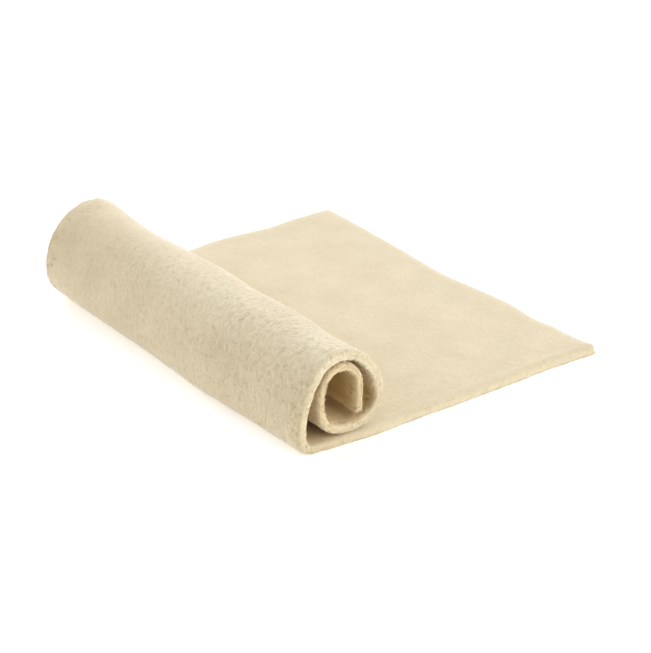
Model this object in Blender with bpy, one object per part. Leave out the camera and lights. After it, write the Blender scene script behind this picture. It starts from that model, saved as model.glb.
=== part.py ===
"""A cut length of natural wool prefelt, rolled up from one end and left part unrolled on a flat surface.

The felt is one needle-punched sheet with no hem, core or backing, so it is one solid. It lies flat
from its free end to the heel of the roll, turns up there, and winds nearly twice round an open bore
to a short flap. Metres, +Z up. +X runs from the roll to the free end, +Y along the roll from its
near end to its far end, and the origin is the centre of the footprint on the surface.
"""

import math
from collections import namedtuple

import bmesh
import bpy
import numpy as np

MM = 0.001

# The cut sheet before it is rolled
SHEET_WIDTH = 200 * MM
SHEET_LENGTH = 334.5 * MM
FELT_THICKNESS = 4.4 * MM
CORNER_RADIUS = 2 * MM
EDGE_ROUNDING = 1.4 * MM

# The length that lies flat, from the free end to the heel, at each end of the roll
FLAT_RUN_NEAR = 156.9 * MM
FLAT_RUN_FAR = 151.8 * MM

# The roll's bends in order from the flat length inwards: how far each turns, and the radius of the
# sheet's middle layer at each end of the roll. What is left of the sheet is the straight flap.
Bend = namedtuple("Bend", "name turn_deg near_radius far_radius")
BENDS = (
    Bend("heel", 88, 5.2 * MM, 13.6 * MM),
    Bend("back wall", 36, 46.0 * MM, 27.1 * MM),
    Bend("shoulder", 50, 13.7 * MM, 23.9 * MM),
    Bend("crown", 52, 17.1 * MM, 17.0 * MM),
    Bend("brow", 41, 25.5 * MM, 25.7 * MM),
    Bend("front wall", 57, 9.4 * MM, 10.4 * MM),
    Bend("underside", 59, 20.0 * MM, 21.2 * MM),
    Bend("inner heel", 51, 9.1 * MM, 9.4 * MM),
    Bend("inner back wall", 35, 24.9 * MM, 26.0 * MM),
    Bend("inner shoulder", 65, 9.0 * MM, 8.9 * MM),
    Bend("inner crown", 100, 9.8 * MM, 11.0 * MM),
)
OUTER_BENDS = 6
BEND_SOFTNESS = 4 * MM

# How the roll varies along its length: its share of the far end's radii, how much wider the bends
# of the outer turn and of the inner turn are, how far the roll sits towards its back, and how much
# was cut off the sheet's free end and off its rolled-up end
Station = namedtuple("Station", "along far_share outer_swell inner_swell shift free_trim rolled_trim")
STATIONS = (
    Station(0 * MM, 0.00, 0.1 * MM, 0.1 * MM, 0.1 * MM, -0.6 * MM, 0.0 * MM),
    Station(12 * MM, 0.01, 0.1 * MM, 0.1 * MM, 0.4 * MM, 0.7 * MM, 0.5 * MM),
    Station(25 * MM, 0.03, 0.1 * MM, 0.1 * MM, 0.9 * MM, 0.7 * MM, 0.0 * MM),
    Station(38 * MM, 0.05, 0.6 * MM, 0.2 * MM, 1.0 * MM, 2.4 * MM, -1.5 * MM),
    Station(55 * MM, 0.07, 0.9 * MM, 0.2 * MM, 1.6 * MM, 0.8 * MM, -2.5 * MM),
    Station(77 * MM, 0.10, 0.7 * MM, 0.1 * MM, 2.3 * MM, 2.1 * MM, -2.0 * MM),
    Station(92 * MM, 0.14, 0.7 * MM, 0.1 * MM, 1.7 * MM, 3.9 * MM, -1.5 * MM),
    Station(106 * MM, 0.20, 0.7 * MM, 0.1 * MM, 1.2 * MM, 4.4 * MM, -1.5 * MM),
    Station(120 * MM, 0.26, 0.3 * MM, 0.1 * MM, 1.1 * MM, 3.5 * MM, -0.5 * MM),
    Station(134 * MM, 0.32, 0.0 * MM, 0.0 * MM, 1.2 * MM, 2.5 * MM, 0.5 * MM),
    Station(160 * MM, 0.50, -0.5 * MM, -0.5 * MM, 1.5 * MM, 1.4 * MM, 3.0 * MM),
    Station(182 * MM, 0.78, -0.2 * MM, -0.2 * MM, 1.4 * MM, 0.6 * MM, 0.0 * MM),
    Station(200 * MM, 1.00, 0.4 * MM, 0.1 * MM, 1.1 * MM, 0.4 * MM, -4.0 * MM),
)

# How much was cut off each long edge, by length from the free end
EdgeMark = namedtuple("EdgeMark", "length near_trim far_trim")
EDGE_MARKS = (
    EdgeMark(0 * MM, -0.5 * MM, 0.6 * MM),
    EdgeMark(14 * MM, -0.1 * MM, 0.5 * MM),
    EdgeMark(26 * MM, 0.4 * MM, 0.8 * MM),
    EdgeMark(37 * MM, 0.3 * MM, 1.8 * MM),
    EdgeMark(49 * MM, -0.2 * MM, 0.9 * MM),
    EdgeMark(60 * MM, -0.4 * MM, -0.2 * MM),
    EdgeMark(71 * MM, -0.5 * MM, -0.6 * MM),
    EdgeMark(86 * MM, -0.6 * MM, 1.1 * MM),
    EdgeMark(105 * MM, -0.4 * MM, 1.3 * MM),
    EdgeMark(128 * MM, -1.3 * MM, 1.0 * MM),
    EdgeMark(145 * MM, -0.7 * MM, 1.2 * MM),
    EdgeMark(158 * MM, 0.6 * MM, 2.3 * MM),
    EdgeMark(190 * MM, 0.9 * MM, 2.1 * MM),
    EdgeMark(215 * MM, 0.4 * MM, 0.6 * MM),
    EdgeMark(245 * MM, -0.5 * MM, 0.6 * MM),
    EdgeMark(270 * MM, 0.1 * MM, 1.0 * MM),
    EdgeMark(295 * MM, 0.5 * MM, 1.2 * MM),
    EdgeMark(334.5 * MM, 0.2 * MM, 0.8 * MM),
)

# How finely the solid follows the cloth
FLAT_CELL = 12.5 * MM
ROLL_CELL = 2.4 * MM
WIDTH_CELL = 11 * MM
CORNER_CELLS = 3
WALK_STEP = 0.25 * MM
WALK_MARGIN = 6 * MM

FELT_COLOUR = (0.82, 0.72, 0.54, 1.0)
FELT_ROUGHNESS = 0.95


def clear_scene():
    for old in list(bpy.data.objects):
        bpy.data.objects.remove(old)


def table_value(table, column, place):
    """A column of a table at a place given in its first column, on a smooth curve through the rows."""
    places = [row[0] for row in table]
    values = [getattr(row, column) for row in table]
    slopes = np.gradient(values, places)
    row = min(max(int(np.searchsorted(places, place)) - 1, 0), len(places) - 2)
    gap = places[row + 1] - places[row]
    t = min(max((place - places[row]) / gap, 0.0), 1.0)
    return (
        values[row] * (1 + 2 * t) * (1 - t) ** 2
        + slopes[row] * gap * t * (1 - t) ** 2
        + values[row + 1] * t**2 * (3 - 2 * t)
        - slopes[row + 1] * gap * t**2 * (1 - t)
    )


def cross_section(along, lengths):
    """X and Z of the middle layer at each length from the free end, which starts at X = 0."""
    share = table_value(STATIONS, "far_share", along)
    flat_run = FLAT_RUN_NEAR + (FLAT_RUN_FAR - FLAT_RUN_NEAR) * share + table_value(STATIONS, "shift", along)
    bend_ends = [flat_run]
    bend_headings = [math.pi]
    for number, bend in enumerate(BENDS):
        swell = table_value(STATIONS, "outer_swell" if number < OUTER_BENDS else "inner_swell", along)
        radius = bend.near_radius + (bend.far_radius - bend.near_radius) * share + swell
        bend_ends.append(bend_ends[-1] + radius * math.radians(bend.turn_deg))
        bend_headings.append(bend_headings[-1] - math.radians(bend.turn_deg))

    walk = np.arange(-WALK_MARGIN, SHEET_LENGTH + WALK_MARGIN, WALK_STEP)
    spread = np.linspace(-0.5, 0.5, 5) * BEND_SOFTNESS
    headings = np.mean([np.interp(walk + step, bend_ends, bend_headings) for step in spread], axis=0)
    middles = (headings[1:] + headings[:-1]) / 2
    walk_x = WALK_MARGIN + np.concatenate([[0], np.cumsum(np.cos(middles) * WALK_STEP)])
    walk_z = FELT_THICKNESS / 2 + np.concatenate([[0], np.cumsum(np.sin(middles) * WALK_STEP)])
    return np.interp(lengths, walk, walk_x), np.interp(lengths, walk, walk_z)


def rounded_corner(length, width):
    """Moves a point of the flat cut that lies in a square corner onto that corner's round outline."""
    past_length = min(length, SHEET_LENGTH - length)
    past_width = min(width, SHEET_WIDTH - width)
    if past_length >= CORNER_RADIUS or past_width >= CORNER_RADIUS:
        return length, width
    p = 1 - past_length / CORNER_RADIUS
    q = 1 - past_width / CORNER_RADIUS
    in_length = CORNER_RADIUS * p * (1 - math.sqrt(1 - q * q / 2))
    in_width = CORNER_RADIUS * q * (1 - math.sqrt(1 - p * p / 2))
    return (
        length + math.copysign(in_length, SHEET_LENGTH / 2 - length),
        width + math.copysign(in_width, SHEET_WIDTH / 2 - width),
    )


def hand_cut(length, width):
    """Moves a point of the square cut to where the shears left it, less and less towards the middle."""
    free_trim = table_value(STATIONS, "free_trim", width)
    rolled_trim = table_value(STATIONS, "rolled_trim", width)
    near_trim = table_value(EDGE_MARKS, "near_trim", length)
    far_trim = table_value(EDGE_MARKS, "far_trim", length)
    across = width / SHEET_WIDTH
    past_heel = (length - FLAT_RUN_NEAR) / (SHEET_LENGTH - FLAT_RUN_NEAR)
    return (
        length + free_trim * max(0.0, 1 - length / FLAT_RUN_NEAR) - rolled_trim * max(0.0, past_heel),
        width + near_trim * (1 - across) ** 2 - far_trim * across**2,
    )


def cell_lines(low, high, cell):
    """Evenly spaced lines from low to high, no further apart than cell."""
    return list(np.linspace(low, high, math.ceil((high - low) / cell) + 1))


def sheet_lines(total, middle_lines):
    """The lines across a whole side of the sheet: its middle ones, and closer ones in the corners."""
    corner = [CORNER_RADIUS * i / CORNER_CELLS for i in range(CORNER_CELLS)]
    return corner + middle_lines + [total - line for line in reversed(corner)]


def rolled_grid():
    """The felt's middle layer: a flat grid, cut by hand and then rolled up row by row."""
    heel = FLAT_RUN_FAR - BEND_SOFTNESS
    flat_lines = cell_lines(CORNER_RADIUS, heel, FLAT_CELL)[:-1]
    roll_lines = cell_lines(heel, SHEET_LENGTH - CORNER_RADIUS, ROLL_CELL)
    lengths = sheet_lines(SHEET_LENGTH, flat_lines + roll_lines)
    widths = sheet_lines(SHEET_WIDTH, cell_lines(CORNER_RADIUS, SHEET_WIDTH - CORNER_RADIUS, WIDTH_CELL))

    points = []
    for width in widths:
        cut = np.array([hand_cut(*rounded_corner(length, width)) for length in lengths])
        x, z = cross_section(width, cut[:, 0])
        points.append(np.column_stack([x, cut[:, 1], z]))

    grid = bmesh.new()
    bmesh.ops.create_grid(grid, x_segments=len(lengths) - 1, y_segments=len(widths) - 1, size=0.5)
    for vert in grid.verts:
        column = round((vert.co.x + 0.5) * (len(lengths) - 1))
        row = round((vert.co.y + 0.5) * (len(widths) - 1))
        vert.co = points[row][column]
    return grid


def felt_material():
    material = bpy.data.materials.new("wool_prefelt")
    material.use_nodes = True
    shader = material.node_tree.nodes["Principled BSDF"]
    shader.inputs["Base Color"].default_value = FELT_COLOUR
    shader.inputs["Roughness"].default_value = FELT_ROUGHNESS
    shader.inputs["Metallic"].default_value = 0.0
    return material


def prefelt_sheet():
    """The sheet at its full thickness with soft cut edges, centred on its footprint."""
    grid = rolled_grid()
    mesh = bpy.data.meshes.new("prefelt_sheet")
    grid.to_mesh(mesh)
    grid.free()
    mesh.materials.append(felt_material())
    mesh.shade_smooth()
    sheet = bpy.data.objects.new("prefelt_sheet", mesh)
    bpy.context.scene.collection.objects.link(sheet)

    thicken = sheet.modifiers.new("felt thickness", "SOLIDIFY")
    thicken.thickness = FELT_THICKNESS
    thicken.offset = 0
    thicken.use_even_offset = True
    soften = sheet.modifiers.new("soft cut edges", "BEVEL")
    soften.width = EDGE_ROUNDING
    soften.segments = 2
    soften.limit_method = "ANGLE"
    soften.angle_limit = math.radians(50)

    bpy.context.view_layer.update()
    corners = np.array([corner[:] for corner in sheet.bound_box])
    middle = (corners.min(axis=0) + corners.max(axis=0)) / 2
    sheet.location = (-middle[0], -middle[1], 0)


clear_scene()
prefelt_sheet()
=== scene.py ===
"""The look of a roll of prefelt, made in a felt maker's order.

The sheet is cut and softened while it is flat, its stray fibres are laid on it, and both are rolled up
together. The table, the studio light and the camera come last.
"""

import math
from collections import namedtuple

import bpy
import numpy as np
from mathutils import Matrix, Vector, noise


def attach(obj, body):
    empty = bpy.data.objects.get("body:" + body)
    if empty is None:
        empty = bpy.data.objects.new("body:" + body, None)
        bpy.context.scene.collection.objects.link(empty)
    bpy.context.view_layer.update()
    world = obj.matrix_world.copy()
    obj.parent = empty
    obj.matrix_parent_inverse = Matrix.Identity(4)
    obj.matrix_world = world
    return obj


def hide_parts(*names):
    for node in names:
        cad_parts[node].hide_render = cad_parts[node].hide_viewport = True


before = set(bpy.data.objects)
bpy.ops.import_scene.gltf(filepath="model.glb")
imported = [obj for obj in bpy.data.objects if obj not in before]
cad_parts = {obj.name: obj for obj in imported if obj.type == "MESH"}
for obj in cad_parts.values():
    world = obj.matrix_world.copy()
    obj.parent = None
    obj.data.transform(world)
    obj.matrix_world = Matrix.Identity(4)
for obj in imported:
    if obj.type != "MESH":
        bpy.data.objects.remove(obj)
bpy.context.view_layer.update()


# The cut sheet
# One layer of natural sheep's wool, carded and needled through but never wetted or pressed, so it is
# thick, soft and slightly uneven. Shears cut it from a wider length, and its edges have no hem.

MM = 0.001
SHEET_WIDTH = 200 * MM
SHEET_LENGTH = 334.5 * MM
FELT_THICKNESS = 4.4 * MM

# The mesh has cells of one size, closer lines where the faces round over towards a cut, and a few
# lines along the upright part of the cuts.
FELT_CELL = 1.26 * MM
EDGE_SOFTNESS = 1.7 * MM
EDGE_LINES = 5
UPRIGHT_LINES = 2


def mesh_lines(total):
    """Where the felt's mesh lines lie along a side: even cells, and closer lines on the rounded edges."""
    turn = np.linspace(0, math.pi / 2, EDGE_LINES, endpoint=False)
    edge = EDGE_SOFTNESS * (1 - np.cos(turn))
    cells = round((total - 2 * EDGE_SOFTNESS) / FELT_CELL)
    middle = np.linspace(EDGE_SOFTNESS, total - EDGE_SOFTNESS, cells + 1)
    return np.concatenate([edge, middle, total - edge[::-1]])


def mesh_points(piece):
    """The places of a piece's mesh points, one row each."""
    found = np.empty(len(piece.data.vertices) * 3)
    piece.data.vertices.foreach_get("co", found)
    return found.reshape(-1, 3)


def place_points(piece, points):
    """Moves a piece's mesh points to new places, one row each."""
    piece.data.vertices.foreach_set("co", np.ravel(points))
    piece.data.update()


bpy.ops.object.select_all(action="DESELECT")
length_lines = mesh_lines(SHEET_LENGTH)
width_lines = mesh_lines(SHEET_WIDTH)
bpy.ops.mesh.primitive_grid_add(
    x_subdivisions=len(length_lines) - 1, y_subdivisions=len(width_lines) - 1, size=1
)
felt = bpy.context.object
felt.name = "prefelt"
felt.data.name = "prefelt"

# The grid's even lines go to where the sheet's mesh lines lie.
spots = mesh_points(felt)
columns = np.rint((spots[:, 0] + 0.5) * (len(length_lines) - 1)).astype(int)
rows = np.rint((spots[:, 1] + 0.5) * (len(width_lines) - 1)).astype(int)
place_points(felt, np.column_stack([length_lines[columns], width_lines[rows], spots[:, 2]]))

# The flat cut gets its thickness, and its upright cut edges are divided for their own unevenness.
thicken = felt.modifiers.new("felt thickness", "SOLIDIFY")
thicken.thickness = FELT_THICKNESS
thicken.offset = 0
bpy.ops.object.modifier_apply(modifier=thicken.name)

bpy.ops.object.mode_set(mode="EDIT")
bpy.ops.mesh.select_all(action="DESELECT")
bpy.ops.object.mode_set(mode="OBJECT")
bpy.context.tool_settings.mesh_select_mode = (False, True, False)
heights = mesh_points(felt)[:, 2]
for edge in felt.data.edges:
    start, end = edge.vertices
    edge.select = bool(abs(heights[start] - heights[end]) > FELT_THICKNESS / 2)
bpy.ops.object.mode_set(mode="EDIT")
bpy.ops.mesh.subdivide(number_cuts=UPRIGHT_LINES)
bpy.ops.object.mode_set(mode="OBJECT")
felt.data.shade_smooth()


# The shears' work
# The corners are slightly round, the faces round over softly at the cut, and no edge is quite
# straight. The trims are how much the shears took off, at places along each edge.

# The places along the roll start at its near end. The trims are those of the sheet's two ends. The
# share is how far the roll has changed from its near end's form to its far end's, the swells are how
# much wider its bends are than that, and the shift is how much further from the free end it lies.
Station = namedtuple("Station", "along far_share outer_swell inner_swell shift free_trim rolled_trim")
STATIONS = (
    Station(0 * MM, 0.00, 0.1 * MM, 0.1 * MM, 0.1 * MM, -1.6 * MM, 0.0 * MM),
    Station(12 * MM, 0.01, 0.1 * MM, 0.1 * MM, 0.4 * MM, 0.7 * MM, 0.5 * MM),
    Station(25 * MM, 0.03, 0.1 * MM, 0.1 * MM, 0.9 * MM, 0.7 * MM, 0.0 * MM),
    Station(38 * MM, 0.05, 0.6 * MM, 0.2 * MM, 1.0 * MM, 2.4 * MM, -1.5 * MM),
    Station(55 * MM, 0.07, 0.9 * MM, 0.2 * MM, 1.6 * MM, 0.8 * MM, -2.5 * MM),
    Station(77 * MM, 0.10, 0.7 * MM, 0.1 * MM, 2.3 * MM, 2.1 * MM, -2.0 * MM),
    Station(92 * MM, 0.14, 0.7 * MM, 0.1 * MM, 1.7 * MM, 3.9 * MM, -1.5 * MM),
    Station(106 * MM, 0.20, 0.7 * MM, 0.1 * MM, 1.2 * MM, 4.4 * MM, -1.5 * MM),
    Station(120 * MM, 0.26, 0.3 * MM, 0.1 * MM, 1.1 * MM, 3.5 * MM, -0.5 * MM),
    Station(134 * MM, 0.32, 0.0 * MM, 0.0 * MM, 1.2 * MM, 2.5 * MM, 0.5 * MM),
    Station(160 * MM, 0.50, -0.5 * MM, -0.5 * MM, 1.5 * MM, 1.4 * MM, 3.0 * MM),
    Station(182 * MM, 0.78, -0.2 * MM, -0.2 * MM, 1.4 * MM, 0.6 * MM, 0.0 * MM),
    Station(200 * MM, 1.00, 0.4 * MM, 0.1 * MM, 1.1 * MM, 0.4 * MM, -4.0 * MM),
)

# The places along the sheet start at its free end. The trims are those of its near and far edges.
EdgeMark = namedtuple("EdgeMark", "length near_trim far_trim")
EDGE_MARKS = (
    EdgeMark(0 * MM, -0.5 * MM, 0.6 * MM),
    EdgeMark(14 * MM, -0.1 * MM, 0.5 * MM),
    EdgeMark(26 * MM, 0.4 * MM, 0.8 * MM),
    EdgeMark(37 * MM, 0.3 * MM, 1.8 * MM),
    EdgeMark(49 * MM, -0.2 * MM, 0.9 * MM),
    EdgeMark(60 * MM, -0.4 * MM, -0.2 * MM),
    EdgeMark(71 * MM, -0.5 * MM, -0.6 * MM),
    EdgeMark(86 * MM, -0.6 * MM, 1.1 * MM),
    EdgeMark(105 * MM, -0.4 * MM, 1.3 * MM),
    EdgeMark(128 * MM, -1.3 * MM, 1.0 * MM),
    EdgeMark(145 * MM, -0.7 * MM, 1.2 * MM),
    EdgeMark(158 * MM, 0.6 * MM, 2.3 * MM),
    EdgeMark(190 * MM, 0.9 * MM, 2.1 * MM),
    EdgeMark(215 * MM, 0.4 * MM, 0.6 * MM),
    EdgeMark(245 * MM, -0.5 * MM, 0.6 * MM),
    EdgeMark(270 * MM, 0.1 * MM, 1.0 * MM),
    EdgeMark(295 * MM, 0.5 * MM, 1.2 * MM),
    EdgeMark(334.5 * MM, 0.2 * MM, 0.8 * MM),
)


def table_value(table, column, at):
    """A column of a table at places given in its first column, on a smooth curve through the rows."""
    places = np.array([row[0] for row in table])
    values = np.array([getattr(row, column) for row in table])
    slopes = np.gradient(values, places)
    row = np.clip(np.searchsorted(places, at) - 1, 0, len(places) - 2)
    gap = places[row + 1] - places[row]
    t = np.clip((at - places[row]) / gap, 0, 1)
    return (
        values[row] * (1 + 2 * t) * (1 - t) ** 2
        + slopes[row] * gap * t * (1 - t) ** 2
        + values[row + 1] * t**2 * (3 - 2 * t)
        - slopes[row + 1] * gap * t**2 * (1 - t)
    )


# Where the flat run ends at the near edge, and how round the corners are
FLAT_RUN_NEAR = 156.9 * MM
CORNER_RADIUS = 3 * MM

# Round the roll a crisp cut keeps this share of the thickness upright. From three quarters of the flat
# run towards the free end it gets softer, and the near edge rounds over from further in.
UPRIGHT_SHARE = 0.4
CRISP_FROM = 0.75
LEAST_CRISPNESS = 0.1
NEAR_FLAT_SOFTNESS = 4 * MM


def round_corners(points):
    """Points in the square corners of the flat cut, moved onto corners with a round outline."""
    length, width, height = points.T
    past_length = np.minimum(length, SHEET_LENGTH - length)
    past_width = np.minimum(width, SHEET_WIDTH - width)
    p = np.clip(1 - past_length / CORNER_RADIUS, 0, 1)
    q = np.clip(1 - past_width / CORNER_RADIUS, 0, 1)
    in_length = CORNER_RADIUS * p * (1 - np.sqrt(1 - q * q / 2))
    in_width = CORNER_RADIUS * q * (1 - np.sqrt(1 - p * p / 2))
    return np.column_stack([
        length + np.copysign(in_length, SHEET_LENGTH / 2 - length),
        width + np.copysign(in_width, SHEET_WIDTH / 2 - width),
        height,
    ])


def crispness(length):
    """How crisp the cut is along the sheet. On the flat run its upper face curves down to the table."""
    return np.clip((length / FLAT_RUN_NEAR - CRISP_FROM) / (1 - CRISP_FROM), LEAST_CRISPNESS, 1)


def soften_cut(points):
    """Rounds both faces over towards the cut edge, so that the cut has soft shoulders."""
    length, width, height = points.T
    crisp = crispness(length)
    near_softness = EDGE_SOFTNESS + (NEAR_FLAT_SOFTNESS - EDGE_SOFTNESS) * (1 - crisp)
    inside = np.minimum.reduce([length, SHEET_LENGTH - length, SHEET_WIDTH - width]) / EDGE_SOFTNESS
    past = np.clip(1 - np.minimum(inside, width / near_softness), 0, 1)
    fall = (1 - UPRIGHT_SHARE * crisp) * (1 - np.sqrt(1 - past * past))
    lowered = height * (1 - fall) - fall * (1 - crisp) * FELT_THICKNESS / 2
    return np.column_stack([length, width, lowered])


def shear(points):
    """Points of the square cut, moved to where the shears left them, less and less towards the middle."""
    length, width, height = points.T
    across = width / SHEET_WIDTH
    past_heel = (length - FLAT_RUN_NEAR) / (SHEET_LENGTH - FLAT_RUN_NEAR)
    free_trim = table_value(STATIONS, "free_trim", width) * np.clip(1 - length / FLAT_RUN_NEAR, 0, 1)
    rolled_trim = table_value(STATIONS, "rolled_trim", width) * np.clip(past_heel, 0, 1)
    near_trim = table_value(EDGE_MARKS, "near_trim", length) * (1 - across) ** 2
    far_trim = table_value(EDGE_MARKS, "far_trim", length) * across**2
    return np.column_stack([length + free_trim - rolled_trim, width + near_trim - far_trim, height])


# The felt's unevenness: lumps and tufts on its faces, dents in the shoulders of its cuts, and ragged
# outlines of the cuts, with their sizes and how far in from the cut they reach
LUMP_SIZE = 13 * MM
LUMP_HEIGHT = 0.13 * MM
TUFT_SIZE = 3.6 * MM
TUFT_HEIGHT = 0.08 * MM
SHOULDER_SIZE = 2.6 * MM
SHOULDER_SHARE = 0.25
SHOULDER_REACH = 4 * MM
RAGGED_SIZE = 2.8 * MM
RAGGED_DEPTH = 0.25 * MM
RAGGED_REACH = 6 * MM

# The inner turn was rolled the tightest, so it is squeezed thinner, and most so under the crown.
SQUEEZE_LENGTHS = (262 * MM, 284 * MM, 298 * MM, 316 * MM, 334.5 * MM)
SQUEEZE_SHARES = (0, 0.18, 0.26, 0.26, 0.2)

# Each seed takes its own patch of the noise, this far from that of the seed before it.
SEED_STEPS = (7.3, 3.1, 5.7)


def wool_noise(points, size, seed):
    """Soft unevenness from -1 to 1, with lumps of about the size given."""
    shift = Vector([seed * step for step in SEED_STEPS])
    return np.array([noise.noise(Vector(point) / size + shift) for point in points])


def distance_to_cut(places):
    """How far in from the nearest edge places on the square cut lie."""
    length, width = places[:, 0], places[:, 1]
    return np.minimum.reduce([length, SHEET_LENGTH - length, width, SHEET_WIDTH - width])


def felt_surface(places):
    """Places on the square cut's surface, moved to where the soft and uneven felt has them."""
    points = soften_cut(places)
    lumps = LUMP_HEIGHT * wool_noise(places, LUMP_SIZE, seed=1)
    tufts = TUFT_HEIGHT * wool_noise(places, TUFT_SIZE, seed=2)
    points[:, 2] += (lumps + tufts) * np.clip(points[:, 2] / (FELT_THICKNESS / 2), -1, 1)
    near_cut = np.clip(1 - distance_to_cut(places) / SHOULDER_REACH, 0, 1)
    shoulders = SHOULDER_SHARE * crispness(places[:, 0]) * wool_noise(places, SHOULDER_SIZE, seed=4)
    points[:, 2] *= 1 + shoulders * near_cut
    points[:, 2] *= 1 - np.interp(places[:, 0], SQUEEZE_LENGTHS, SQUEEZE_SHARES)
    points = round_corners(points)
    ragged = RAGGED_DEPTH * wool_noise(places, RAGGED_SIZE, seed=3)
    for axis, total in enumerate((SHEET_LENGTH, SHEET_WIDTH)):
        low_side = np.clip(1 - places[:, axis] / RAGGED_REACH, 0, 1)
        high_side = np.clip(1 - (total - places[:, axis]) / RAGGED_REACH, 0, 1)
        points[:, axis] += ragged * (high_side - low_side)
    return points


# The felt keeps its places on the square cut, in metres, for the patterns of its wool.
felt_places = mesh_points(felt)
place_record = felt.data.attributes.new("felt_place", "FLOAT_VECTOR", "POINT")
place_record.data.foreach_set("vector", np.ravel(felt_places))


# The roll
# The free end stays flat on the table. At the heel the sheet turns up and winds nearly twice round an
# open middle, looser at the far end, and its other end hangs inside as a short straight flap.

Bend = namedtuple("Bend", "name turn_deg near_radius far_radius")
BENDS = (
    Bend("heel", 88, 5.2 * MM, 13.6 * MM),
    Bend("back wall", 36, 46.0 * MM, 27.1 * MM),
    Bend("shoulder", 50, 13.7 * MM, 23.9 * MM),
    Bend("crown", 52, 17.1 * MM, 17.0 * MM),
    Bend("brow", 41, 25.5 * MM, 25.7 * MM),
    Bend("front wall", 57, 9.4 * MM, 10.4 * MM),
    Bend("underside", 59, 20.0 * MM, 21.2 * MM),
    Bend("inner heel", 51, 9.1 * MM, 9.4 * MM),
    Bend("inner back wall", 35, 24.9 * MM, 26.0 * MM),
    Bend("inner shoulder", 65, 9.0 * MM, 8.9 * MM),
    Bend("inner crown", 100, 9.8 * MM, 11.0 * MM),
)
OUTER_BENDS = 6
FLAT_RUN_FAR = 151.8 * MM

# One bend blends into the next over a short length. The section is worked out at steps along the
# sheet, and a little past its ends, at places a step apart along the roll.
BEND_SOFTNESS = 4 * MM
BLEND_STEPS = 5
LENGTH_STEP = 0.25 * MM
WIDTH_STEP = 2 * MM
WALK_MARGIN = 6 * MM

# Where the sheet's free end and near edge lie in the frame
FREE_END_X = 84.37 * MM
NEAR_EDGE_Y = -99.58 * MM


def roll_section(along):
    """X, Z and heading of the felt's middle at steps along its length, at one place along the roll."""
    share = table_value(STATIONS, "far_share", along)
    shift = table_value(STATIONS, "shift", along)
    ends = [FLAT_RUN_NEAR + (FLAT_RUN_FAR - FLAT_RUN_NEAR) * share + shift]
    headings = [math.pi]
    for number, bend in enumerate(BENDS):
        swell = table_value(STATIONS, "outer_swell" if number < OUTER_BENDS else "inner_swell", along)
        radius = bend.near_radius + (bend.far_radius - bend.near_radius) * share + swell
        ends.append(ends[-1] + radius * math.radians(bend.turn_deg))
        headings.append(headings[-1] - math.radians(bend.turn_deg))
    walk = np.arange(-WALK_MARGIN, SHEET_LENGTH + WALK_MARGIN, LENGTH_STEP)
    spread = np.linspace(-0.5, 0.5, BLEND_STEPS) * BEND_SOFTNESS
    heading = np.mean([np.interp(walk + step, ends, headings) for step in spread], axis=0)
    middle = (heading[1:] + heading[:-1]) / 2
    x = WALK_MARGIN + np.concatenate([[0], np.cumsum(np.cos(middle) * LENGTH_STEP)])
    z = FELT_THICKNESS / 2 + np.concatenate([[0], np.cumsum(np.sin(middle) * LENGTH_STEP)])
    return np.column_stack([x, z, heading])


roll_sections = np.array([roll_section(y) for y in np.arange(0, SHEET_WIDTH + WIDTH_STEP / 2, WIDTH_STEP)])

# Places are read between two steps, the last of them just before the last step.
BEFORE_LAST = 1.001


def roll_up(points, widths):
    """Points of the flat felt where they lie in the roll. Widths are their places before the shears."""
    row = np.clip(widths / WIDTH_STEP, 0, len(roll_sections) - BEFORE_LAST)
    column = np.clip((points[:, 0] + WALK_MARGIN) / LENGTH_STEP, 0, roll_sections.shape[1] - BEFORE_LAST)
    row_from, column_from = row.astype(int), column.astype(int)
    row_share, column_share = (row - row_from)[:, None], (column - column_from)[:, None]
    sides = []
    for side in (row_from, row_from + 1):
        step_from, step_to = roll_sections[side, column_from], roll_sections[side, column_from + 1]
        sides.append(step_from + (step_to - step_from) * column_share)
    x, z, heading = (sides[0] + (sides[1] - sides[0]) * row_share).T
    return np.column_stack([
        FREE_END_X + x + points[:, 2] * np.sin(heading),
        NEAR_EDGE_Y + points[:, 1],
        np.maximum(z - points[:, 2] * np.cos(heading), 0),
    ])


# The felt's length runs against X, which mirrors what is rolled up, so its faces are turned outwards.
place_points(felt, roll_up(shear(felt_surface(felt_places)), felt_places[:, 1]))
felt.data.flip_normals()


# Needled wool
# Natural white wool of mixed sheep, not dyed: cream, with paler and yellower clouds where the carded
# layers cross. Needling tangles it, so it looks matt, soft and mottled, with short crossing fibres.

WOOL_PALE = "#D2C4A3"
WOOL_CREAM = "#CCBD9D"
# Painted highlight
WOOL_PAINTED_HIGHLIGHT = "#DBCFB2"
# Painted shade for the roll's inside, and a deeper painted shade for its innermost turn
WOOL_PAINTED_SHADE = "#D7BB87"
WOOL_DEEP_PAINTED_SHADE = "#B79D64"
# Painted shade in the wool's hollows
WOOL_HOLLOW = "#A68E6A"


def linear(hex_colour):
    """An sRGB hex colour as the linear numbers that a shader takes."""
    parts = [int(hex_colour[i : i + 2], 16) / 255 for i in (1, 3, 5)]
    return [c / 12.92 if c <= 0.04045 else ((c + 0.055) / 1.055) ** 2.4 for c in parts] + [1.0]


def add_node(tree, kind, inputs, **settings):
    """Adds a node with its settings, and links its inputs or sets their values."""
    node = tree.nodes.new(kind)
    for name, value in settings.items():
        setattr(node, name, value)
    for name, value in inputs.items():
        if isinstance(value, bpy.types.NodeSocket):
            tree.links.new(value, node.inputs[name])
        else:
            node.inputs[name].default_value = value
    return node
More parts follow.
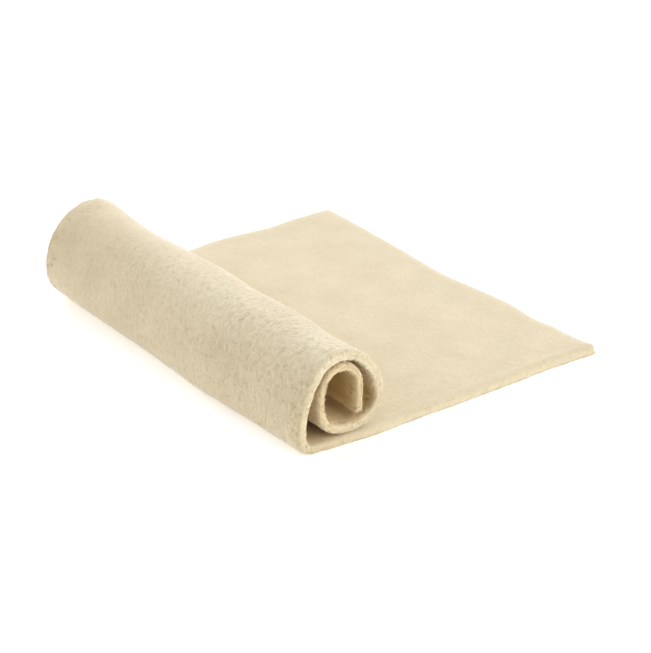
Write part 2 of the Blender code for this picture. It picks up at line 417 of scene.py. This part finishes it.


# Painted shade: the inside of the roll is painted yellower, from where the upper face turns up at the heel
# and the lower face goes under it, and so are the cuts, those of the inner turns the most. The painted
# shade is yellowest, and darker, on the innermost turn beyond the reach of the light at the two mouths.
CUT_PAINTED_SHADE = 0.08
INNER_CUT_PAINTED_SHADE = 0.45
CUT_SHADE_REACH = 4 * MM
UPPER_SHADED_FROM = 126 * MM
LOWER_SHADED_FROM = 258 * MM
DEEP_SHADE_FROM = 283 * MM
SHADE_FADE = 30 * MM
UPPER_FADE = 1.3 * SHADE_FADE
MOUTH_LIGHT = 2 * MM
MOUTH_FADE = 8 * MM

# Painted highlights make the wool paler at the edges of the flat run and of the mouths' crests, and on the
# outside in a band along the roll's upper back, which ends before the far end.
HIGHLIGHT_LENGTHS = (120 * MM, 145 * MM, 192 * MM, 204 * MM, 226 * MM, 245 * MM)
HIGHLIGHT_SHARES = (0.6, 0, 0, 0.6, 0.6, 0)
HIGHLIGHT_REACHES = (0 * MM, 2 * MM, 6 * MM)
HIGHLIGHT_REACH_SHARES = (0.6, 1, 0)
BAND_LENGTHS = (188 * MM, 203 * MM, 209 * MM, 217 * MM)
BAND_SHARES = (0, 1, 1, 0)
BAND_WIDTHS = (95 * MM, 150 * MM)
BAND_WIDTH_SHARES = (1, 0)


def painted_shading_at(places):
    """The painted shading at places on the square cut: shade 0 to 1, up to 2 deep inside, highlight below
    0.
    """
    length, width, height = places.T
    to_cut = distance_to_cut(places)
    upper = np.clip((length - UPPER_SHADED_FROM) / UPPER_FADE, 0, 1)
    lower = np.clip((length - LOWER_SHADED_FROM) / SHADE_FADE, 0, 1)
    inwards = np.clip((np.minimum(width, SHEET_WIDTH - width) - MOUTH_LIGHT) / MOUTH_FADE, 0, 1)
    upper = upper + inwards * np.clip((length - DEEP_SHADE_FROM) / SHADE_FADE, 0, 1)
    cut = CUT_PAINTED_SHADE * crispness(length) + (INNER_CUT_PAINTED_SHADE - CUT_PAINTED_SHADE) * lower
    cut_share = np.clip(1 - to_cut / CUT_SHADE_REACH, 0, 1)
    face = lower + (upper - lower) * (height / FELT_THICKNESS + 0.5)
    # Painted highlights along the edges, and in a band on the roll's outside
    edge_highlight = np.interp(length, HIGHLIGHT_LENGTHS, HIGHLIGHT_SHARES)
    edge_highlight = edge_highlight * np.interp(to_cut, HIGHLIGHT_REACHES, HIGHLIGHT_REACH_SHARES)
    outside = np.clip(-2 * height / FELT_THICKNESS, 0, 1) * np.interp(width, BAND_WIDTHS, BAND_WIDTH_SHARES)
    band_highlight = np.interp(length, BAND_LENGTHS, BAND_SHARES) * outside
    return face + (cut - face) * cut_share - np.maximum(edge_highlight, band_highlight)


# The painted shading is kept on the felt: painted shade above 0, painted highlight below 0.
shading_record = felt.data.attributes.new("painted_shading", "FLOAT", "POINT")
shading_record.data.foreach_set("value", painted_shading_at(felt_places))

# Patterns to a millimetre: the clouds are about 20 mm wide, the tufts between the needle marks 2.4 mm,
# and the fibres' slow bends 3 mm long and up to 1.7 mm to each side.
CLOUDS_PER_MM = 0.05
TUFTS_PER_MM = 0.42
WANDERS_PER_MM = 0.32
WANDER = 3.5

# A single fibre of 0.03 mm would be too fine to see, so each one is drawn as a wisp of about 1 by 3 mm.
# They cross in four directions. The stretch is how fast the noise changes along a wisp, across it
# and into the felt.
WISPS_PER_MM = 1
WISP_STRETCH = (0.3, 0.85, 0.6)
WISP_TURNS_DEG = (12, 58, 101, 147)

# The needles went in at the upper face and pushed tufts out of the lower one, so the upper one is
# smoother. Handling has laid the fibres down towards the far end, which leaves it smoother, and its colour
# is made darker towards the far end.
# Heights are from the middle of the thickness, and places from the near edge.
SMOOTH_FROM_MM = 1.5
ROUGH_FROM_MM = -1.5
UPPER_ROUGHNESS = 0.3
WORN_FROM_MM = 20.0
WORN_TO_MM = 180.0
WORN_ROUGHNESS = 0.45
FAR_DARKENING = 0.09

# The part of the noise that makes each pattern, as the noise seldom comes near 0 or 1
CLOUD_RANGE = (0.35, 0.65)
WISP_RANGE = (0.45, 0.75)
DIP_RANGE = (0.3, 0.47)

# How much painted shade darkens it between the wisps, up to a share of their pattern, and in the dips
# between the tufts. The relief is how much higher the highest noise would stand than the lowest.
WISP_HOLLOW = 0.35
WISP_HOLLOW_TO = 0.6
TUFT_HOLLOW = 0.55
TUFT_RELIEF = 0.7 * MM
WISP_RELIEF = 0.2 * MM


def needled_wool():
    """Matt wool whose patterns are drawn in millimetres on the felt's places on the square cut."""
    material = bpy.data.materials.new("needled_wool")
    material.use_nodes = True
    tree = material.node_tree
    shader = tree.nodes["Principled BSDF"]

    # Places on the felt in millimetres, bent by a slow wander so that no fibre runs straight
    place = add_node(tree, "ShaderNodeAttribute", {}, attribute_name="felt_place").outputs["Vector"]
    on_felt = add_node(
        tree, "ShaderNodeVectorMath", {0: place, "Scale": 1 / MM}, operation="SCALE"
    ).outputs[0]
    slow = add_node(
        tree, "ShaderNodeTexNoise", {"Vector": on_felt, "Scale": WANDERS_PER_MM, "Detail": 1}
    ).outputs["Color"]
    centred = add_node(
        tree, "ShaderNodeVectorMath", {0: slow, 1: (-0.5, -0.5, -0.5)}, operation="ADD"
    ).outputs[0]
    wander = add_node(
        tree, "ShaderNodeVectorMath", {0: centred, "Scale": WANDER}, operation="SCALE"
    ).outputs[0]
    wandering = add_node(tree, "ShaderNodeVectorMath", {0: on_felt, 1: wander}, operation="ADD").outputs[0]

    # How rough it is: less on the upper face, which lies higher on the square cut, and where it is worn
    parts = add_node(tree, "ShaderNodeSeparateXYZ", {"Vector": on_felt})
    rough = add_node(
        tree, "ShaderNodeMapRange",
        {
            "Value": parts.outputs["Z"], "From Min": SMOOTH_FROM_MM, "From Max": ROUGH_FROM_MM,
            "To Min": UPPER_ROUGHNESS, "To Max": 1.0,
        },
    ).outputs["Result"]
    worn, darkened_far = (
        add_node(
            tree, "ShaderNodeMapRange",
            {
                "Value": parts.outputs["Y"], "From Min": WORN_FROM_MM, "From Max": WORN_TO_MM,
                "To Min": near_value, "To Max": far_value,
            },
        ).outputs["Result"]
        for near_value, far_value in ((1.0, WORN_ROUGHNESS), (0.0, FAR_DARKENING))
    )
    rough = add_node(tree, "ShaderNodeMath", {0: rough, 1: worn}, operation="MULTIPLY").outputs[0]

    # Crossing wisps, the strongest at each place
    wisps = None
    for angle in WISP_TURNS_DEG:
        turned = add_node(
            tree, "ShaderNodeVectorRotate", {"Vector": wandering, "Angle": math.radians(angle)},
            rotation_type="Z_AXIS",
        ).outputs[0]
        drawn_out = add_node(
            tree, "ShaderNodeVectorMath", {0: turned, 1: WISP_STRETCH}, operation="MULTIPLY"
        ).outputs[0]
        strand = add_node(
            tree, "ShaderNodeTexNoise", {"Vector": drawn_out, "Scale": WISPS_PER_MM, "Detail": 2}
        ).outputs["Fac"]
        if wisps is not None:
            strand = add_node(tree, "ShaderNodeMath", {0: wisps, 1: strand}, operation="MAXIMUM").outputs[0]
        wisps = strand
    wisps = add_node(
        tree, "ShaderNodeMapRange", {"Value": wisps, "From Min": WISP_RANGE[0], "From Max": WISP_RANGE[1]}
    ).outputs["Result"]

    # Clouds where the carded layers cross, and tufts between the needle marks
    clouds = add_node(
        tree, "ShaderNodeTexNoise", {"Vector": on_felt, "Scale": CLOUDS_PER_MM, "Detail": 2}
    ).outputs["Fac"]
    clouds = add_node(
        tree, "ShaderNodeMapRange",
        {"Value": clouds, "From Min": CLOUD_RANGE[0], "From Max": CLOUD_RANGE[1]},
    ).outputs["Result"]
    tufts = add_node(
        tree, "ShaderNodeTexNoise", {"Vector": wandering, "Scale": TUFTS_PER_MM, "Detail": 3}
    ).outputs["Fac"]

    # The share of wool that lies in a hollow, which gets painted shade and so looks darker
    hollows = add_node(
        tree, "ShaderNodeMapRange",
        {
            "Value": wisps, "From Min": 0.0, "From Max": WISP_HOLLOW_TO,
            "To Min": WISP_HOLLOW, "To Max": 0.0,
        },
    ).outputs["Result"]
    dips = add_node(
        tree, "ShaderNodeMapRange",
        {
            "Value": tufts, "From Min": DIP_RANGE[0], "From Max": DIP_RANGE[1],
            "To Min": TUFT_HOLLOW, "To Max": 0.0,
        },
    ).outputs["Result"]
    hollows = add_node(tree, "ShaderNodeMath", {0: hollows, 1: dips}, operation="MAXIMUM").outputs[0]
    hollows = add_node(tree, "ShaderNodeMath", {0: hollows, 1: rough}, operation="MULTIPLY").outputs[0]
    # The colour is also made darker towards the far end.
    hollows = add_node(tree, "ShaderNodeMath", {0: hollows, 1: darkened_far}, operation="ADD").outputs[0]

    # Colour: cream with paler clouds, a painted highlight, a painted shade in yellow and then a deeper one
    # in deep yellow inside the roll, and painted shade in the hollows, which also darkens towards the far
    # end.
    # Each tint lies over the ones before it.
    # Painted shade where the shading is above 0 and a deeper one above 1, painted highlight below 0
    painted_shading = add_node(tree, "ShaderNodeAttribute", {}, attribute_name="painted_shading").outputs["Fac"]
    painted_highlight = add_node(tree, "ShaderNodeMath", {0: painted_shading, 1: -1.0}, operation="MULTIPLY").outputs[0]
    deep_shade = add_node(tree, "ShaderNodeMath", {0: painted_shading, 1: 1.0}, operation="SUBTRACT").outputs[0]
    colour = linear(WOOL_CREAM)
    for share, tint in (
        (clouds, WOOL_PALE),
        (painted_highlight, WOOL_PAINTED_HIGHLIGHT),
        (painted_shading, WOOL_PAINTED_SHADE),
        (deep_shade, WOOL_DEEP_PAINTED_SHADE),
        (hollows, WOOL_HOLLOW),
    ):
        colour = add_node(
            tree, "ShaderNodeMix", {"Factor": share, "A": colour, "B": linear(tint)}, data_type="RGBA"
        ).outputs["Result"]
    tree.links.new(colour, shader.inputs["Base Color"])

    # Relief: soft tufts, and the wisps on them
    relief = {}
    for pattern, height in ((tufts, TUFT_RELIEF), (wisps, WISP_RELIEF)):
        raised = add_node(tree, "ShaderNodeMath", {0: pattern, 1: rough}, operation="MULTIPLY").outputs[0]
        bump = add_node(
            tree, "ShaderNodeBump", {"Height": raised, "Strength": 1.0, "Distance": height, **relief}
        )
        relief = {"Normal": bump.outputs["Normal"]}
    tree.links.new(relief["Normal"], shader.inputs["Normal"])
    shader.inputs["Roughness"].default_value = 0.95
    shader.inputs["Specular IOR Level"].default_value = 0.2
    shader.inputs["Sheen Weight"].default_value = 0.4
    shader.inputs["Sheen Roughness"].default_value = 0.5
    return material


felt.data.materials.clear()
felt.data.materials.append(needled_wool())

# Its map for a texture is the flat cut: both faces side by side, and its four cut edges beyond them.
# The first two cuts run along the sheet's length and the other two along its width. A cell whose
# corners are on average lower than the felt's faces lies on a cut.
MAP_GAP = 4 * MM
MAP_SIZE = 2 * (SHEET_WIDTH + MAP_GAP) + 4 * (FELT_THICKNESS + MAP_GAP)
CUTS_ALONG = 2
CLOSE_TO_FACE = 0.999

corners = np.empty(len(felt.data.loops), int)
felt.data.loops.foreach_get("vertex_index", corners)
corner_counts = [face.loop_total for face in felt.data.polygons]
face_of_corner = np.repeat(np.arange(len(corner_counts)), corner_counts)
length, width, height = felt_places[corners].T
to_cuts = np.column_stack([width, SHEET_WIDTH - width, length, SHEET_LENGTH - length])
face_size = np.bincount(face_of_corner)
face_height = np.bincount(face_of_corner, height) / face_size
face_to_cuts = np.column_stack([np.bincount(face_of_corner, gap) / face_size for gap in to_cuts.T])
is_cut = (np.abs(face_height) < FELT_THICKNESS / 2 * CLOSE_TO_FACE)[face_of_corner]
cut = face_to_cuts.argmin(axis=1)[face_of_corner]
along = np.where(is_cut & (cut >= CUTS_ALONG), width, length)
across = np.where(
    is_cut,
    2 * (SHEET_WIDTH + MAP_GAP) + cut * (FELT_THICKNESS + MAP_GAP) + height + FELT_THICKNESS / 2,
    width + np.where(height < 0, SHEET_WIDTH + MAP_GAP, 0),
)
felt_map = felt.data.uv_layers.new(name="OFBake")
felt_map.data.foreach_set("uv", np.ravel(np.column_stack([along, across]) / MAP_SIZE))

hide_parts("prefelt_sheet")
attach(felt, "root")


# Stray fibres
# Needling leaves single fibres and thin wisps loose. They lie on both faces like light down and stand
# off the cuts. A real one is 0.03 mm thick, too fine to draw, so each one here stands for a wisp.

FIBRE_THICKNESS = 0.08 * MM
FIBRE_FULLNESS = 1.7
FIBRE_ROOT_DEPTH = 0.15 * MM
FIBRE_SEED = 7

# One fibre is modelled once, with its length as 1, and is then copied along each fibre's own path. It
# keeps most of its thickness up to halfway, where it is this much fuller than a plain cone.
bpy.ops.object.select_all(action="DESELECT")
bpy.ops.mesh.primitive_cone_add(vertices=3, radius1=FIBRE_THICKNESS / 2, depth=1, location=(0, 0, 0.5))
bpy.ops.object.transform_apply()
pattern = bpy.context.object
bpy.ops.object.mode_set(mode="EDIT")
bpy.ops.mesh.select_all(action="SELECT")
bpy.ops.mesh.bisect(plane_co=(0, 0, 0.5), plane_no=(0, 0, 1))
bpy.ops.transform.resize(value=(FIBRE_FULLNESS, FIBRE_FULLNESS, 1), center_override=(0, 0, 0.5))
bpy.ops.object.mode_set(mode="OBJECT")
pattern_points = mesh_points(pattern)
pattern_faces = [tuple(face.vertices) for face in pattern.data.polygons]
bpy.data.objects.remove(pattern)

# Loose fibres catch the light all round, so they are painted paler than the felt, and most so at their
# tips.
# The shades run from a painted highlight to the painted shade inside the roll, and the tips are painted
# paler from this height on.
FIBRE_PAINTED_HIGHLIGHT = "#F1E7CD"
FIBRE_BETWEEN = ((0.3, "#DDCFAE"), (0.6, "#CCB58D"))
FIBRE_PAINTED_SHADE = "#B89E68"
FIBRE_TIP = "#E9DDC0"
TIP_FROM = 0.4
TIP_SHARE = 0.5


def loose_wool():
    """Loose wool, coloured by a map: its painted shading across, and each fibre's length upwards."""
    material = bpy.data.materials.new("stray_wool_fibres")
    material.use_nodes = True
    tree = material.node_tree
    shader = tree.nodes["Principled BSDF"]
    spot = add_node(tree, "ShaderNodeUVMap", {}, uv_map="OFBake").outputs["UV"]
    parts = add_node(tree, "ShaderNodeSeparateXYZ", {"Vector": spot})
    ramp = add_node(tree, "ShaderNodeValToRGB", {"Fac": parts.outputs["X"]})
    shades = ramp.color_ramp.elements
    shades[0].color = linear(FIBRE_PAINTED_HIGHLIGHT)
    shades[1].color = linear(FIBRE_PAINTED_SHADE)
    for place, hex_colour in FIBRE_BETWEEN:
        shades.new(place).color = linear(hex_colour)
    tips = add_node(
        tree, "ShaderNodeMapRange",
        {"Value": parts.outputs["Y"], "From Min": TIP_FROM, "From Max": 1.0, "To Max": TIP_SHARE},
    ).outputs["Result"]
    colour = add_node(
        tree, "ShaderNodeMix", {"Factor": tips, "A": ramp.outputs["Color"], "B": linear(FIBRE_TIP)},
        data_type="RGBA",
    ).outputs["Result"]
    tree.links.new(colour, shader.inputs["Base Color"])
    shader.inputs["Roughness"].default_value = 0.7
    shader.inputs["Specular IOR Level"].default_value = 0.2
    return material


stray_wool = loose_wool()
draws = np.random.default_rng(FIBRE_SEED)


def unit(vectors):
    """Vectors, one row each, at a length of 1."""
    return vectors / np.linalg.norm(vectors, axis=1, keepdims=True)


def on_face(count, side, length_from, length_to, width_from=0.0, width_to=SHEET_WIDTH):
    """Random places on the square cut's upper face, side 1, or its lower one, side -1."""
    length = draws.uniform(length_from, length_to, count)
    width = draws.uniform(width_from, width_to, count)
    return np.column_stack([length, width, np.full(count, side * FELT_THICKNESS / 2)])


def on_cuts(count):
    """Random places on the four cuts, half of them on the upright part and half on the shoulders."""
    inside = draws.uniform(-EDGE_SOFTNESS, EDGE_SOFTNESS, count).clip(0)
    height = np.where(inside > 0, draws.choice((-1, 1), count), draws.uniform(-1, 1, count))
    around = draws.uniform(0, 2 * (SHEET_LENGTH + SHEET_WIDTH), count)
    starts = np.array((0, SHEET_LENGTH, 2 * SHEET_LENGTH, 2 * SHEET_LENGTH + SHEET_WIDTH))
    cuts = np.searchsorted(starts[1:], around)
    along = around - starts[cuts]
    length = np.choose(cuts, (along, along, inside, SHEET_LENGTH - inside))
    width = np.choose(cuts, (inside, SHEET_WIDTH - inside, along, along))
    return np.column_stack([length, width, height * FELT_THICKNESS / 2])


def facings(places):
    """Which way the felt's surface faces at places on the square cut, more and more outwards at a cut."""
    length, width, height = places.T
    to_cuts = np.column_stack([length, SHEET_LENGTH - length, width, SHEET_WIDTH - width])
    outward = np.array([(-1, 0, 0), (1, 0, 0), (0, -1, 0), (0, 1, 0)])[to_cuts.argmin(axis=1)]
    past = np.clip(1 - to_cuts.min(axis=1) / EDGE_SOFTNESS, 0, 1)[:, None]
    return unit(outward * past + np.sign(height)[:, None] * np.array((0, 0, 1)) * np.sqrt(1 - past**2))


# A tuft's fibres stand close together and point much the same way.
TUFT_SPREAD = 0.25 * MM
TUFT_WAY_SPREAD = 0.25
TUFT_RISE_SPREAD_DEG = 3


def tufted(places, per_tuft):
    """Places of tufts on a cut or face, each turned into a few places close round it."""
    around = draws.normal(0, TUFT_SPREAD, (len(places), per_tuft, 3))
    lowest = (0, 0, -FELT_THICKNESS / 2)
    highest = (SHEET_LENGTH, SHEET_WIDTH, FELT_THICKNESS / 2)
    return (places[:, None] + around).reshape(-1, 3).clip(lowest, highest)


# Each fibre has its own share of the longest one's length, and turns aside and down in its outer half.
LENGTH_SHARES = (0.3, 1)
ASIDE_TURNS = (-0.8, 0.8)
DOWN_TURNS = (0.2, 1.5)

# The map's shade of a fibre: the palest, how much it darkens with the felt's painted shade, and how much
# fibres differ. It keeps clear of the map's rims, and each fibre is a narrow upright strip in it.
PALEST_SHADE = 0.05
PAINTED_SHADE_DARKENING = 0.42
SHADE_SPREAD = 0.25
SHADE_RANGE = (0.02, 0.95)
STRIP_WIDTH = 0.01
STRIP_START = 0.05
STRIP_LENGTH = 0.9


def add_fibres(name, places, longest, least_rise_deg, most_rise_deg, per_tuft=1, thickening=1.0):
    """A piece of fibres that are rooted at places on the square cut, each curving back towards the felt."""
    count = len(places)
    tufts = count // per_tuft
    facing = facings(places)
    tuft_way = np.repeat(draws.normal(size=(tufts, 3)), per_tuft, axis=0)
    aside = unit(np.cross(facing, tuft_way + draws.normal(0, TUFT_WAY_SPREAD, (count, 3))))
    tuft_rise = np.repeat(draws.uniform(least_rise_deg, most_rise_deg, (tufts, 1)), per_tuft, axis=0)
    rise = np.radians(tuft_rise + draws.normal(0, TUFT_RISE_SPREAD_DEG, (count, 1)))
    heading = np.cos(rise) * aside + np.sin(rise) * facing
    sideways = draws.uniform(*ASIDE_TURNS, (count, 1)) * np.cross(facing, aside)
    downwards = draws.uniform(*DOWN_TURNS, (count, 1)) * np.sin(rise) * facing
    turned = unit(heading + sideways - downwards)
    length = draws.uniform(*LENGTH_SHARES, (count, 1)) * longest
    root = felt_surface(places) - facing * FIBRE_ROOT_DEPTH
    middle = root + heading * length / 2
    tip = middle + turned * length / 2
    across = unit(np.cross(facing, heading))
    over = np.cross(heading, across)

    # The pattern's root, middle and tip follow the path. Fibres that would reach the table are left out.
    path = np.stack([root, middle, tip], axis=1)[:, np.rint(pattern_points[:, 2] * 2).astype(int)]
    sides = pattern_points[:, :2] * thickening
    points = path + across[:, None] * sides[:, :1] + over[:, None] * sides[:, 1:]
    flat = points.reshape(-1, 3)
    rolled = roll_up(shear(flat), flat[:, 1]).reshape(points.shape)
    clear = rolled[:, :, 2].min(axis=1) > 0
    rolled, painted_shading = rolled[clear], painted_shading_at(places[clear])
    faces = [
        tuple(corner + number * len(pattern_points) for corner in face)
        for number in range(len(rolled))
        for face in pattern_faces
    ]
    mesh = bpy.data.meshes.new(name)
    mesh.from_pydata(rolled.reshape(-1, 3), [], faces)
    mesh.flip_normals()
    piece = bpy.data.objects.new(name, mesh)
    bpy.context.collection.objects.link(piece)

    # A fibre takes the painted shade or painted highlight of the felt at its root.
    shade = PALEST_SHADE + PAINTED_SHADE_DARKENING * painted_shading + draws.uniform(0, SHADE_SPREAD, len(rolled))
    shade = shade.clip(*SHADE_RANGE)
    corners = np.empty(len(mesh.loops), int)
    mesh.loops.foreach_get("vertex_index", corners)
    fibre, part = np.divmod(corners, len(pattern_points))
    spots = pattern_points[part] / (FIBRE_THICKNESS, FIBRE_THICKNESS, 1)
    fibre_map = mesh.uv_layers.new(name="OFBake")
    fibre_map.data.foreach_set("uv", np.ravel(np.column_stack([
        shade[fibre] + STRIP_WIDTH * spots[:, 0],
        STRIP_START + STRIP_LENGTH * spots[:, 2] + STRIP_WIDTH * spots[:, 1],
    ])))
    mesh.materials.append(stray_wool)
    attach(piece, "root")


# Light down on the faces that show: the flat run's upper face and the roll's outside
DOWN_COUNT = 19000
DOWN_LENGTH = 2.6 * MM
add_fibres(
    "stray_fibres_flat", on_face(DOWN_COUNT, 1, 0, FLAT_RUN_NEAR),
    longest=DOWN_LENGTH, least_rise_deg=2, most_rise_deg=16,
)
add_fibres(
    "stray_fibres_roll", on_face(DOWN_COUNT, -1, FLAT_RUN_NEAR, LOWER_SHADED_FROM + SHADE_FADE),
    longest=DOWN_LENGTH, least_rise_deg=2, most_rise_deg=20,
)

# Short thick tufts all round the cuts, and on both faces near the roll's mouths. Handling has laid most
# of them down at the far mouth.
TUFT_THICKENING = 1.8
CUT_TUFTS = 3800
PER_CUT_TUFT = 5
NEAR_MOUTH_TUFTS = 430
FAR_MOUTH_TUFTS = 110
PER_MOUTH_TUFT = 10
MOUTH_DEPTH = 7 * MM
add_fibres(
    "stray_fibres_cuts", tufted(on_cuts(CUT_TUFTS), PER_CUT_TUFT),
    longest=1.6 * MM, least_rise_deg=5, most_rise_deg=55,
    per_tuft=PER_CUT_TUFT, thickening=TUFT_THICKENING,
)
mouth_places = [
    on_face(count, side, FLAT_RUN_NEAR, SHEET_LENGTH, width, width + MOUTH_DEPTH)
    for count, width in ((NEAR_MOUTH_TUFTS, 0), (FAR_MOUTH_TUFTS, SHEET_WIDTH - MOUTH_DEPTH))
    for side in (1, -1)
]
add_fibres(
    "stray_fibres_mouths", tufted(np.concatenate(mouth_places), PER_MOUTH_TUFT),
    longest=1.8 * MM, least_rise_deg=10, most_rise_deg=45,
    per_tuft=PER_MOUTH_TUFT, thickening=TUFT_THICKENING,
)


# The table and the studio
# A plain white table top that glows a little, in a white room. Broad soft lamps stand round it, with a
# low one in front of the near mouth, and a long lens looks down along the roll.

TABLE_SIZE = 8
TABLE_WHITE = "#FBFBFB"
TABLE_GLOW = 0.33
PURE_WHITE = (1, 1, 1, 1)

bpy.ops.mesh.primitive_plane_add(size=TABLE_SIZE)
table = bpy.context.object
table.name = "table_top"
board = bpy.data.materials.new("matt_white_board")
board.use_nodes = True
board_shader = board.node_tree.nodes["Principled BSDF"]
board_shader.inputs["Base Color"].default_value = linear(TABLE_WHITE)
board_shader.inputs["Roughness"].default_value = 1.0
board_shader.inputs["Emission Color"].default_value = PURE_WHITE
board_shader.inputs["Emission Strength"].default_value = TABLE_GLOW
table.data.materials.append(board)

# The room is seen white behind the table's far edge, and lights the felt only dimly.
ROOM_LIGHT = 0.06
ROOM_SEEN = 1.0

scene = bpy.context.scene
scene.world = bpy.data.worlds.new("white_room")
scene.world.use_nodes = True
room = scene.world.node_tree
room.nodes["Background"].inputs["Color"].default_value = PURE_WHITE
seen = add_node(room, "ShaderNodeLightPath", {}).outputs["Is Camera Ray"]
strength = add_node(
    room, "ShaderNodeMapRange", {"Value": seen, "To Min": ROOM_LIGHT, "To Max": ROOM_SEEN}
).outputs["Result"]
room.links.new(strength, room.nodes["Background"].inputs["Strength"])


def towards(azimuth_deg, elevation_deg):
    """The direction of a place seen from the table, its azimuth turning from +X to +Y."""
    azimuth, elevation = math.radians(azimuth_deg), math.radians(elevation_deg)
    return Vector((
        math.cos(azimuth) * math.cos(elevation),
        math.sin(azimuth) * math.cos(elevation),
        math.sin(elevation),
    ))


# The spread is how wide a lamp looks from the table, which softens its shadows.
Lamp = namedtuple("Lamp", "name azimuth_deg elevation_deg spread_deg energy")
LAMPS = (
    Lamp("back_right_lamp", 60, 28, 60, 2.6),
    Lamp("back_left_lamp", 120, 28, 60, 1.98),
    Lamp("left_lamp", 180, 28, 60, 0.5),
    Lamp("front_lamp", 300, 28, 60, 2.95),
    Lamp("mouth_lamp", 262, 8, 40, 0.24),
)
for lamp in LAMPS:
    direction = towards(lamp.azimuth_deg, lamp.elevation_deg)
    bpy.ops.object.light_add(type="SUN", rotation=direction.to_track_quat("Z", "Y").to_euler())
    light = bpy.context.object
    light.name = lamp.name
    light.data.energy = lamp.energy
    light.data.angle = math.radians(lamp.spread_deg)

# Where the camera stands, seen from its aim
LENS_AZIMUTH_DEG = -126.8
LENS_ELEVATION_DEG = 25.91
LENS_DISTANCE = 0.9732
LENS_AIM = Vector((-20.63 * MM, -37.18 * MM, 20 * MM))
LENS_LENGTH_MM = 121.29
SENSOR_WIDTH_MM = 36

back = towards(LENS_AZIMUTH_DEG, LENS_ELEVATION_DEG)
lens_place = LENS_AIM + back * LENS_DISTANCE
bpy.ops.object.camera_add(location=lens_place, rotation=back.to_track_quat("Z", "Y").to_euler())
camera = bpy.context.object
camera.data.lens = LENS_LENGTH_MM
camera.data.sensor_width = SENSOR_WIDTH_MM
scene.camera = camera
scene.view_settings.view_transform = "Standard"
